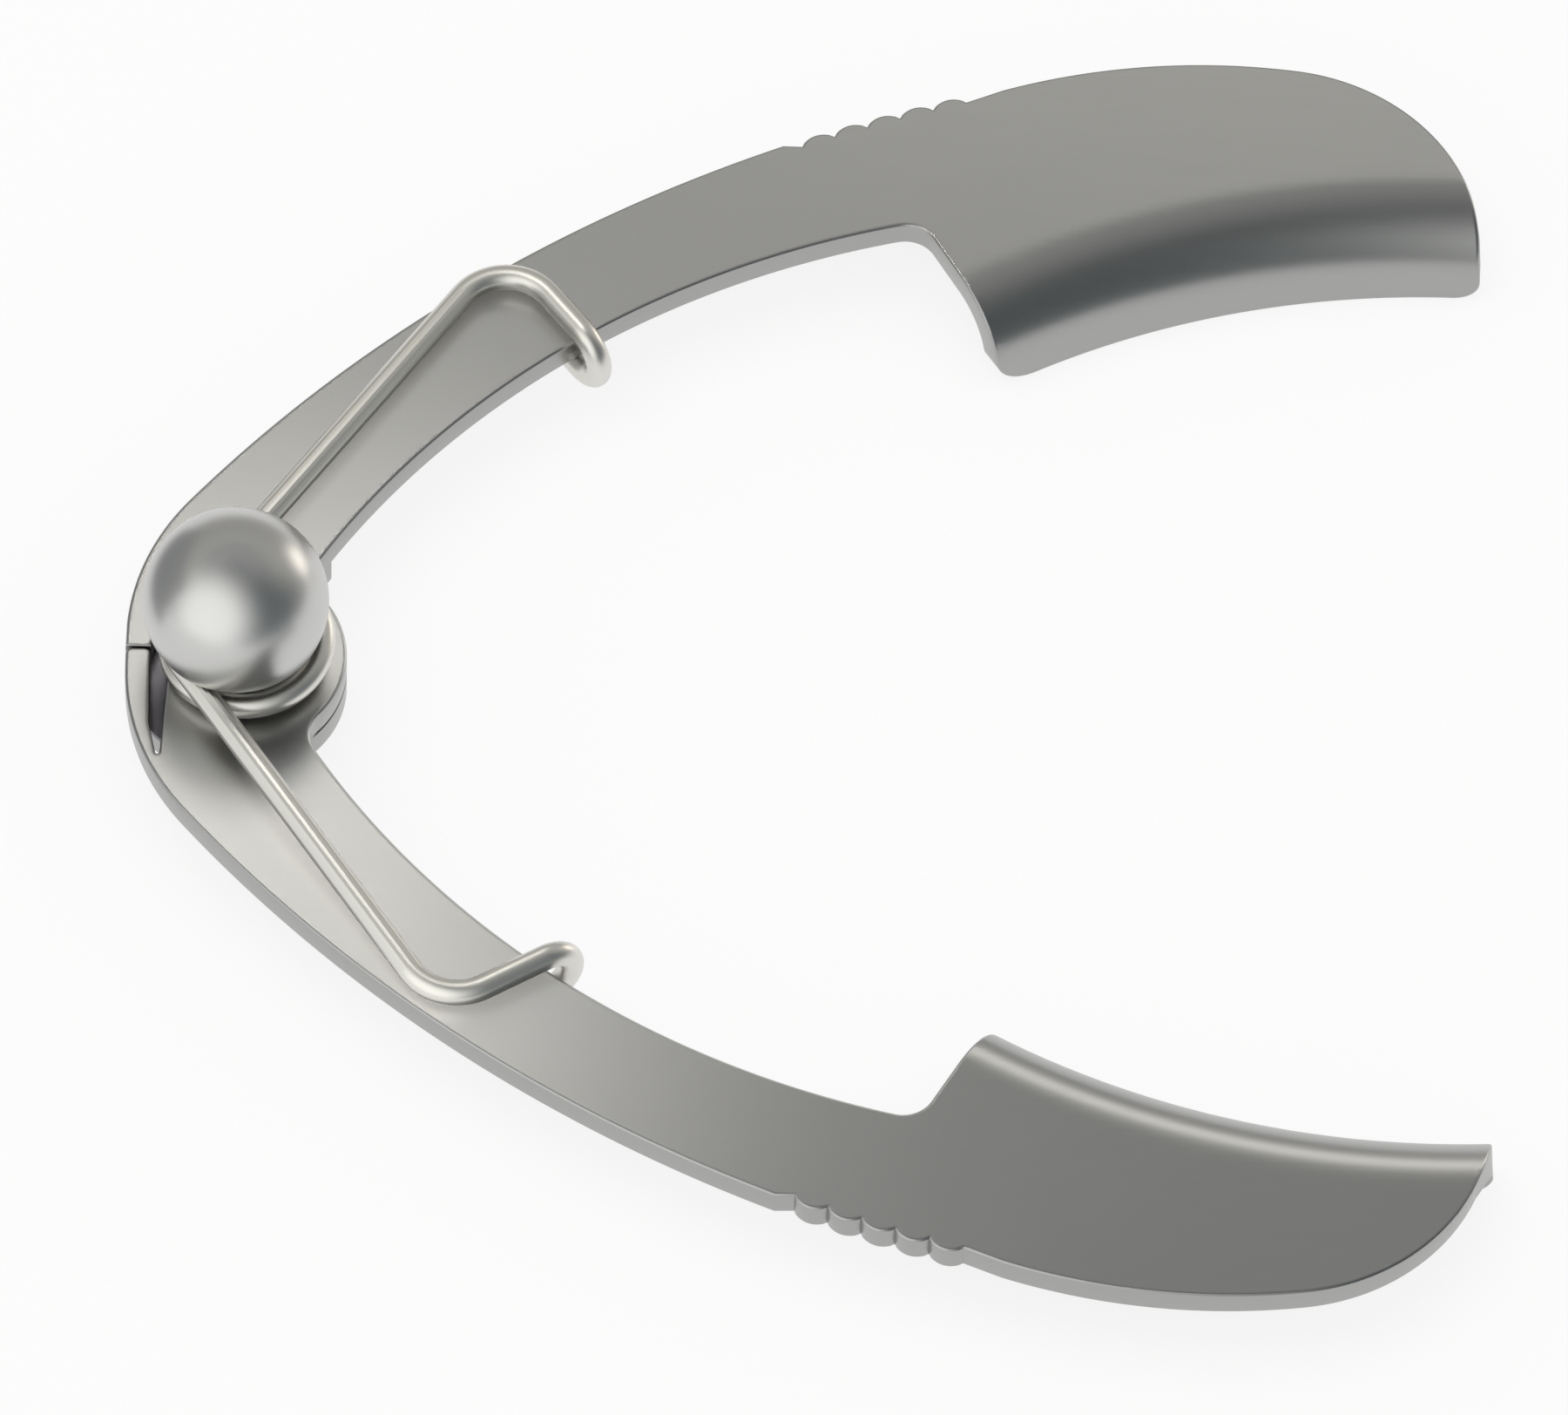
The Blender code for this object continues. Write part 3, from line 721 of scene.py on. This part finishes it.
def steel(name, colour, tint, roughness, spread, grain, grain_depth):
    """Steel whose colour drifts a little, with fine polishing lines in its gloss and surface."""
    material, graph = new_material(name)
    place = graph.add("ShaderNodeTexCoord", output="Object")
    drift = graph.add("ShaderNodeTexNoise", {}, {"Vector": place, **DRIFT})
    along = graph.add("ShaderNodeMapping", {}, {"Vector": place, "Scale": grain})
    lines = graph.add("ShaderNodeTexNoise", {}, {"Vector": along, **LINES})
    base = graph.mix(drift, (*colour, 1), (*tint, 1))
    # Painted shade: the steel's colour turns dark on the lowered eye's top under the stop
    # finger's slot
    base = graph.mix(lap_shade(graph, place), base, (*LAP_SHADE, 1))
    bump = graph.add(
        "ShaderNodeBump", {},
        {"Height": lines, "Strength": grain_depth, "Distance": LINE_HEIGHT * MM},
    )
    shader = graph.add(
        "ShaderNodeBsdfPrincipled", {},
        {
            "Base Color": base,
            "Metallic": 1.0,
            "Roughness": roughness + (lines - 0.5) * spread,
            "Normal": bump,
        },
    )
    graph.add("ShaderNodeOutputMaterial", {}, {"Surface": shader})
    return material


def satin_steel(context):
    """The steel of the sheet and the pin, made once."""
    found = bpy.data.materials.get("satin_sheet")
    if found:
        return found
    finish = context.scene.speculum_finish
    return steel("satin_sheet", finish.steel, finish.steel_tint, finish.satin, *SATIN_LINES)


def dress(obj, material, slot, body, *nodes):
    """Scales a piece to metres and gives it its steel and its place in the frame."""
    obj.data.transform(Matrix.Scale(MM, 4))
    obj.data.materials.clear()
    obj.data.materials.append(material)
    obj.data.shade_smooth()
    obj.data.set_sharp_from_angle(angle=SHARP_ANGLE)
    for face in obj.data.polygons:
        if face.area > FLAT_AREA * MM**2:
            face.use_smooth = False
    if body:
        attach(obj, body)
    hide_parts(*nodes)


def turned(name, profile, sides):
    """A solid of revolution about Z, from (radius, height) points that run from axis to axis."""
    built = bmesh.new()
    points = [built.verts.new((r, 0, z)) for r, z in profile]
    edges = [built.edges.new(pair) for pair in zip(points, points[1:])]
    bmesh.ops.spin(
        built, geom=points + edges, cent=(0, 0, 0), axis=(0, 0, 1),
        angle=2 * math.pi, steps=sides, use_merge=True,
    )
    bmesh.ops.remove_doubles(built, verts=built.verts, dist=CLOSE)
    bmesh.ops.recalc_face_normals(built, faces=built.faces)
    return link_mesh(name, built)


def leg(side, station, skew, reach):
    """Corners of a leg from its hook's end in to its turn on the arm, with their bend radii."""
    from_centre = angle_about(INNER_CENTRE, INNER_NECK) + station
    edge = polar(INNER_CENTRE, INNER_BOW, from_centre)
    out = Vector((math.cos(from_centre + skew), math.sin(from_centre + skew)))
    above = TOP + LEG_HEIGHT + WIRE_RADIUS
    below = TOP_BOTTOM - LEG_HEIGHT - WIRE_RADIUS
    bend = (above - below) / 2

    def place(offset, height):
        point = edge + out * offset
        return Vector((point.x, side * point.y, height))

    return [
        (place(HOOK_RETURN, below), 0),
        (place(-bend, below), bend * HOOK_FULLNESS),
        (place(-bend, above), bend * HOOK_FULLNESS),
        (place(reach, above), LEG_CORNER),
    ]


def tangent_angle(centre, point, radius):
    """Angle about the centre of the tangent from the point, on the side away from the blades."""
    way = point - centre
    return math.atan2(way.y, way.x) + math.acos(radius / way.length)


def spring_route():
    """Bend points of the wire from the upper hook, round the coil, to the lower hook."""
    upper = leg(1, UPPER_HOOK_STATION, UPPER_HOOK_SKEW, UPPER_LEG_REACH)
    lower = leg(-1, LOWER_HOOK_STATION, LOWER_HOOK_SKEW, LOWER_LEG_REACH)
    centre = Vector((COIL_SHIFT, 0))
    corner = lower[-1][0]
    start = tangent_angle(centre, upper[-1][0].xy, COIL_RADIUS)
    end = 4 * math.pi - tangent_angle(centre, Vector((corner.x, -corner.y)), COIL_RADIUS)
    climb_start = end - 2 * math.pi
    climb_end = start + 2 * math.pi
    coil = []
    for i in range(COIL_STEPS + 1):
        angle = start + (end - start) * i / COIL_STEPS
        climb = min(max((angle - climb_start) / (climb_end - climb_start), 0), 1)
        height = COIL_LOW + (COIL_HIGH - COIL_LOW) * climb
        coil.append((Vector((*polar(centre, COIL_RADIUS, angle), height)), 0))
    return upper + coil + list(reversed(lower))


def bent_path(route):
    """The route's points with an arc of its bend radius at each corner."""
    points = []
    for i, (corner, radius) in enumerate(route):
        if radius == 0:
            points.append(corner)
            continue
        back = (route[i - 1][0] - corner).normalized()
        on = (route[i + 1][0] - corner).normalized()
        opening = back.angle(on)
        reach = radius / math.tan(opening / 2)
        start, end = corner + back * reach, corner + on * reach
        points += rounding(start, corner, end, opening, BEND_STEPS)
    return points


def wire_object(name, points, radius):
    """A round wire along the points, as a mesh with closed ends."""
    curve = bpy.data.curves.new(name, "CURVE")
    curve.dimensions = "3D"
    curve.bevel_depth = radius
    curve.bevel_resolution = WIRE_RESOLUTION
    curve.use_fill_caps = True
    spline = curve.splines.new("POLY")
    spline.points.add(len(points) - 1)
    for place, point in zip(spline.points, points):
        place.co = (*point, 1)
    guide = bpy.data.objects.new(name + "_line", curve)
    bpy.context.scene.collection.objects.link(guide)
    bpy.context.view_layer.update()
    evaluated = guide.evaluated_get(bpy.context.evaluated_depsgraph_get())
    mesh = bpy.data.meshes.new_from_object(evaluated)
    bpy.data.objects.remove(guide)
    built = bmesh.new()
    built.from_mesh(mesh)
    bmesh.ops.remove_doubles(built, verts=built.verts, dist=CLOSE)
    bmesh.ops.recalc_face_normals(built, faces=built.faces)
    return link_mesh(name, built)


def colour_property(name, description, default):
    return FloatVectorProperty(
        name=name, description=description, default=default,
        size=3, min=0, max=1, subtype="COLOR",
    )


def roughness_property(name, description, default):
    return FloatProperty(
        name=name, description=description, default=default, min=0, max=1, subtype="FACTOR"
    )


def angle_property(name, description, degrees):
    return FloatProperty(
        name=name, description=description, default=math.radians(degrees), subtype="ANGLE"
    )


class SpeculumSizes(bpy.types.PropertyGroup):
    """Sizes of the finish that a user may change."""

    edge_round: FloatProperty(
        name="Edge rounding", description="Radius of the sheet's polished edges",
        default=0.08 * MM, min=0.02 * MM, max=0.4 * MM, precision=6, unit="LENGTH",
    )
    edge_steps: IntProperty(
        name="Edge steps", description="Faces round each polished edge", default=4, min=2, max=8
    )
    blade_step: FloatProperty(
        name="Blade step", description="Size of the faces that the blade is divided into",
        default=0.25 * MM, min=0.1 * MM, max=1.0 * MM, precision=6, unit="LENGTH",
    )


class SpeculumFinish(bpy.types.PropertyGroup):
    """Colours and gloss of the steel."""

    steel: colour_property("Steel", "Colour of the sheet steel", (0.41, 0.407, 0.398))
    steel_tint: colour_property(
        "Steel tint", "Colour that the sheet steel drifts to", (0.385, 0.387, 0.383)
    )
    bright: colour_property("Bright steel", "Colour of the ball", (0.62, 0.615, 0.60))
    bright_tint: colour_property(
        "Bright tint", "Colour that the ball drifts to", (0.59, 0.59, 0.585)
    )
    wire_steel: colour_property("Wire", "Colour of the spring", (0.78, 0.76, 0.71))
    wire_tint: colour_property(
        "Wire tint", "Colour that the spring drifts to", (0.74, 0.73, 0.69)
    )
    satin: roughness_property("Satin roughness", "Roughness of the arms", 0.31)
    polish: roughness_property("Polish roughness", "Roughness of the ball", 0.34)
    wire: roughness_property("Wire roughness", "Roughness of the spring", 0.36)


class SpeculumStudio(bpy.types.PropertyGroup):
    """Camera and floor."""

    elevation: angle_property("Elevation", "Camera's height above the horizon", 56)
    azimuth: angle_property("Azimuth", "Camera's turn about the pin", -1.06)
    roll: angle_property("Roll", "Camera's turn about its own line of sight", 1.73)
    distance: FloatProperty(
        name="Distance", description="From the camera to the point that it looks at",
        default=600 * MM, unit="LENGTH",
    )
    aim: FloatVectorProperty(
        name="Aim", description="Point that the camera looks at",
        default=(15.114 * MM, -1.525 * MM, 2.2 * MM),
        size=3, precision=6, subtype="TRANSLATION", unit="LENGTH",
    )
    lens: FloatProperty(
        name="Lens", description="Focal length in millimetres", default=500.4
    )
    floor: colour_property("Floor", "Colour of the floor", (0.82, 0.82, 0.81))


class SPECULUM_OT_lower_arm(bpy.types.Operator):
    """Makes the lower arm with its blade, hub and stop finger"""

    bl_idname = "speculum.lower_arm"
    bl_label = "Lower arm"

    def execute(self, context):
        arm = plate_object(context, "lower_arm_steel", lower_outline(), TOP_BOTTOM, TOP)
        boolean(arm, prism_object("pin_hole", pin_hole_outline(), 0, 2 * TOP), "DIFFERENCE")
        finish_arm(arm, True, context.scene.speculum_sizes.blade_step / MM)
        dress(arm, satin_steel(context), "satin_steel", "lower_body", "lower_arm")
        return {"FINISHED"}


class SPECULUM_OT_upper_arm(bpy.types.Operator):
    """Makes the upper arm with its blade, heel and lowered eye"""

    bl_idname = "speculum.upper_arm"
    bl_label = "Upper arm"

    def execute(self, context):
        arm = plate_object(context, "upper_arm_steel", upper_outline(), TOP_BOTTOM, TOP)
        plate_top = TOP - SHEET / 2
        plate = plate_object(context, "lap_plate", lap_plate_outline(), LOW_BOTTOM, plate_top)
        well = prism_object("lap_well", lap_well_outline(), LOW_TOP, TOP + SHEET)
        boolean(plate, well, "DIFFERENCE")
        boolean(arm, plate, "UNION")
        boolean(arm, prism_object("pin_hole", pin_hole_outline(), 0, TOP), "DIFFERENCE")
        finish_arm(arm, False, context.scene.speculum_sizes.blade_step / MM)
        dress(arm, satin_steel(context), "satin_steel", "upper_body", "upper_arm")
        return {"FINISHED"}


class SPECULUM_OT_pin(bpy.types.Operator):
    """Makes the pin with its rivet head"""

    bl_idname = "speculum.pin"
    bl_label = "Pin"

    def execute(self, context):
        shank_top = TOP + BALL_BORE_DEPTH
        profile = [
            (0, 0),
            (RIVET_RADIUS - RIVET_CHAMFER, 0),
            (RIVET_RADIUS, RIVET_CHAMFER),
            (RIVET_RADIUS, RIVET_HEAD),
            (PIN_RADIUS, RIVET_HEAD),
            (PIN_RADIUS, shank_top - RIVET_CHAMFER),
            (PIN_RADIUS - RIVET_CHAMFER, shank_top),
            (0, shank_top),
        ]
        pin = turned("pivot_pin_steel", profile, PIN_SIDES)
        dress(pin, satin_steel(context), "satin_steel", "lower_body", "pivot_pin")
        return {"FINISHED"}


class SPECULUM_OT_ball(bpy.types.Operator):
    """Makes the polished ball head"""

    bl_idname = "speculum.ball"
    bl_label = "Ball"

    def execute(self, context):
        finish = context.scene.speculum_finish
        neck_bottom = TOP + LAP_GAP
        bore_end = neck_bottom + BALL_BORE_DEPTH
        seat_angle = math.asin((BALL_SEAT - BALL_CENTRE) / BALL_RADIUS)
        profile = [
            (0, bore_end),
            (PIN_RADIUS + PIN_CLEARANCE, bore_end),
            (PIN_RADIUS + PIN_CLEARANCE, neck_bottom),
            (BALL_NECK, neck_bottom),
            (BALL_NECK, BALL_SEAT),
        ]
        for i in range(BALL_STEPS + 1):
            angle = seat_angle + (math.pi / 2 - seat_angle) * i / BALL_STEPS
            radius = BALL_RADIUS * math.cos(angle) if i < BALL_STEPS else 0
            profile.append((radius, BALL_CENTRE + BALL_RADIUS * math.sin(angle)))
        ball = turned("ball_steel", profile, BALL_SIDES)
        polished = steel(
            "polished_ball", finish.bright, finish.bright_tint, finish.polish, *BALL_LINES
        )
        dress(ball, polished, "polished_steel", "lower_body", "ball_knob")
        return {"FINISHED"}


class SPECULUM_OT_spring(bpy.types.Operator):
    """Makes the hooked wire spring"""

    bl_idname = "speculum.spring"
    bl_label = "Spring"

    def execute(self, context):
        finish = context.scene.speculum_finish
        spring = wire_object("spring_wire", bent_path(spring_route()), WIRE_RADIUS)
        wire = steel("bright_wire", finish.wire_steel, finish.wire_tint, finish.wire, *WIRE_LINES)
        dress(spring, wire, "spring_wire", None, "torsion_spring")
        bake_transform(spring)
        return {"FINISHED"}


class SPECULUM_OT_stage(bpy.types.Operator):
    """Makes the floor, the lights and the camera"""

    bl_idname = "speculum.stage"
    bl_label = "Stage"

    def execute(self, context):
        studio = context.scene.speculum_studio
        built = bmesh.new()
        bmesh.ops.create_grid(built, x_segments=1, y_segments=1, size=FLOOR_REACH)
        bmesh.ops.translate(built, verts=built.verts, vec=(0, 0, CAD_BOX[0].z))
        floor = link_mesh("floor", built)
        floor.data.materials.append(floor_paper(studio.floor))
        light_studio(context)
        place_camera(context)
        return {"FINISHED"}


def floor_paper(colour):
    """Pale paper that looks white and still keeps the object's shadow."""
    material, graph = new_material("floor_paper")
    camera = graph.add("ShaderNodeLightPath", output="Is Camera Ray")
    glossy = graph.add("ShaderNodeLightPath", output="Is Glossy Ray")
    through = graph.add("ShaderNodeLightPath", output="Is Transmission Ray")
    seen = camera + glossy + through
    paper = graph.add("ShaderNodeBsdfDiffuse", {}, {"Color": (*colour, 1)})
    white = graph.add("ShaderNodeEmission", {}, {"Color": (1, 1, 1, 1), "Strength": 1.0})
    mixed = graph.add("ShaderNodeMixShader", {}, {0: seen * FLOOR_WHITE, 1: paper, 2: white})
    graph.add("ShaderNodeOutputMaterial", {}, {"Surface": mixed})
    return material


def bright_cloth(name):
    """A material for cloth that is seen by its own light but lights nothing, and its graph."""
    material, graph = new_material(name)
    material.cycles.emission_sampling = "NONE"
    return material, graph


def tent_cloth():
    """The light tent's cloth: dark in front and paler behind, with soft glows."""
    material, graph = bright_cloth("tent_cloth")
    place = graph.add("ShaderNodeTexCoord", output="Object")
    way = graph.vector("NORMALIZE", place, (0, 0, 0))
    height = graph.part(way, "Z")
    behind = graph.add("ShaderNodeValToRGB", {"stops": TENT_BEHIND}, {0: height})
    front = graph.add("ShaderNodeValToRGB", {"stops": TENT_FRONT}, {0: height})
    share = graph.fade(graph.part(way, "Y"), *TENT_TURN, "SMOOTHSTEP")
    light = graph.mix(share, front, behind)
    for centre, reach, colour in GLOWS:
        offset = graph.vector("DIVIDE", graph.vector("SUBTRACT", way, centre), reach)
        away = graph.vector("LENGTH", offset, (0, 0, 0), "Value")
        glow = graph.fade(away, *GLOW_FADE, "SMOOTHSTEP")
        light = graph.vector("ADD", light, graph.mix(glow, (0, 0, 0, 1), (*colour, 1)))
    cloth = graph.add("ShaderNodeEmission", {}, {"Color": light, "Strength": 1.0})
    graph.add("ShaderNodeOutputMaterial", {}, {"Surface": cloth})
    return material


def flag_cloth():
    """The flag's plain grey cloth."""
    material, graph = bright_cloth("flag_cloth")
    grey = graph.add("ShaderNodeEmission", {}, {"Color": (*FLAG_COLOUR, 1), "Strength": 1.0})
    graph.add("ShaderNodeOutputMaterial", {}, {"Surface": grey})
    return material


def light_tent():
    """A sphere round the object, seen from inside."""
    built = bmesh.new()
    bmesh.ops.create_uvsphere(
        built, u_segments=TENT_SEGMENTS, v_segments=TENT_RINGS, radius=TENT_RADIUS * MM
    )
    bmesh.ops.reverse_faces(built, faces=built.faces)
    tent = link_mesh("light_tent", built)
    tent.data.shade_smooth()
    return tent


def grey_flag():
    """An upright rectangle, with its length along Y."""
    built = bmesh.new()
    length, height = FLAG_SIZE
    upright = Matrix.Rotation(math.pi / 2, 4, "Y") @ Matrix.Diagonal((height, length, 1, 1))
    bmesh.ops.create_grid(
        built, x_segments=1, y_segments=1, size=MM / 2,
        matrix=Matrix.Translation(Vector(FLAG_CENTRE) * MM) @ upright,
    )
    return link_mesh("grey_flag", built)


def piece_collection(name, pieces):
    """A collection of finished pieces, for a lamp that lights or is shaded by only these."""
    collection = bpy.data.collections.new(name)
    for piece in pieces:
        collection.objects.link(bpy.data.objects[piece])
    return collection


def softbox(name, way, far, width, height, radiance, aim):
    """A rectangular lamp, in millimetres, that faces the aim from the given way. Its brightness
    is a radiance."""
    lamp = bpy.data.lights.new(name, "AREA")
    lamp.shape = "RECTANGLE"
    lamp.size = width * MM
    lamp.size_y = height * MM
    lamp.energy = radiance * math.pi * width * height * MM**2
    obj = bpy.data.objects.new(name, lamp)
    bpy.context.scene.collection.objects.link(obj)
    obj.visible_camera = False
    toward = Vector(way).normalized()
    place = Matrix.Translation((Vector(aim) + toward * far) * MM)
    obj.matrix_world = place @ toward.to_track_quat("Z", "Y").to_matrix().to_4x4()
    return obj


def warm_softbox(name, box, aim, pieces):
    """A warm softbox that lights only the named pieces."""
    lamp = softbox(name + "_softbox", *box, aim)
    lamp.data.color = SOFTBOX_COLOUR
    lamp.light_linking.receiver_collection = piece_collection(name + "_light", pieces)
    return lamp


def light_studio(context):
    """Plain soft light for the floor, a tent and a flag that only the steel mirrors, and the
    softboxes that light single pieces."""
    world = bpy.data.worlds.new("studio")
    context.scene.world = world
    world.use_nodes = True
    graph = Graph(world.node_tree)
    white = graph.add("ShaderNodeBackground", {}, {0: (1, 1, 1, 1), 1: WORLD_LIGHT})
    graph.add("ShaderNodeOutputWorld", {}, {"Surface": white})
    for obj, cloth in ((light_tent(), tent_cloth()), (grey_flag(), flag_cloth())):
        obj.data.materials.append(cloth)
        for ray in BLIND_RAYS:
            setattr(obj, "visible_" + ray, False)
    overhead = softbox("overhead_softbox", *OVERHEAD_BOX, OVERHEAD_AIM)
    overhead.visible_glossy = False
    arms = ["lower_arm_steel", "upper_arm_steel"]
    rear = warm_softbox("rear", REAR_BOX, REAR_AIM, arms + ["spring_wire"])
    shade = piece_collection("rear_shade", arms + ["ball_steel", "pivot_pin_steel"])
    rear.light_linking.blocker_collection = shade
    rear.data.cycles.use_multiple_importance_sampling = False
    warm_softbox("crest", CREST_BOX, CREST_AIM, ["lower_arm_steel"])
    warm_softbox("blade", BLADE_BOX, BLADE_AIM, ["upper_arm_steel"])


def place_camera(context):
    """The camera, at its distance from the aim and turned by its three angles."""
    studio = context.scene.speculum_studio
    across = math.cos(studio.azimuth)
    along = math.sin(studio.azimuth)
    low = math.cos(studio.elevation)
    level = Vector((across, along, 0))
    back = Vector((along * low, -across * low, math.sin(studio.elevation)))
    upright = back.cross(level)
    right = level * math.cos(studio.roll) + upright * math.sin(studio.roll)
    above = upright * math.cos(studio.roll) - level * math.sin(studio.roll)
    turn = Matrix((right, above, back)).transposed().to_4x4()
    data = bpy.data.cameras.new("camera")
    data.lens = studio.lens
    data.sensor_width = SENSOR_WIDTH
    data.clip_start = CAMERA_NEAR
    data.clip_end = CAMERA_FAR
    camera = bpy.data.objects.new("camera", data)
    bpy.context.scene.collection.objects.link(camera)
    camera.matrix_world = Matrix.Translation(Vector(studio.aim) + back * studio.distance) @ turn
    context.scene.camera = camera
    context.scene.view_settings.view_transform = "Standard"


class SPECULUM_PT_panel(bpy.types.Panel):
    """Lists the settings and the steps"""

    bl_idname = "SPECULUM_PT_panel"
    bl_label = "Eye speculum"
    bl_space_type = "VIEW_3D"
    bl_region_type = "UI"
    bl_category = "Speculum"

    def draw(self, context):
        for settings in GROUPS:
            group = getattr(context.scene, settings)
            box = self.layout.box()
            for name in group.__annotations__:
                box.prop(group, name)
        for step in STEPS:
            self.layout.operator(step.bl_idname)


GROUPS = {
    "speculum_sizes": SpeculumSizes,
    "speculum_finish": SpeculumFinish,
    "speculum_studio": SpeculumStudio,
}
STEPS = (
    SPECULUM_OT_lower_arm,
    SPECULUM_OT_upper_arm,
    SPECULUM_OT_pin,
    SPECULUM_OT_ball,
    SPECULUM_OT_spring,
    SPECULUM_OT_stage,
)


def register():
    for group in GROUPS.values():
        bpy.utils.register_class(group)
    for step in STEPS:
        bpy.utils.register_class(step)
    bpy.utils.register_class(SPECULUM_PT_panel)
    for name, group in GROUPS.items():
        setattr(bpy.types.Scene, name, PointerProperty(type=group))


def unregister():
    for name in GROUPS:
        delattr(bpy.types.Scene, name)
    bpy.utils.unregister_class(SPECULUM_PT_panel)
    for step in reversed(STEPS):
        bpy.utils.unregister_class(step)
    for group in reversed(list(GROUPS.values())):
        bpy.utils.unregister_class(group)


def main():
    register()
    bpy.ops.speculum.lower_arm()
    bpy.ops.speculum.upper_arm()
    bpy.ops.speculum.pin()
    bpy.ops.speculum.ball()
    bpy.ops.speculum.spring()
    bpy.ops.speculum.stage()


if __name__ == "__main__":
    main()
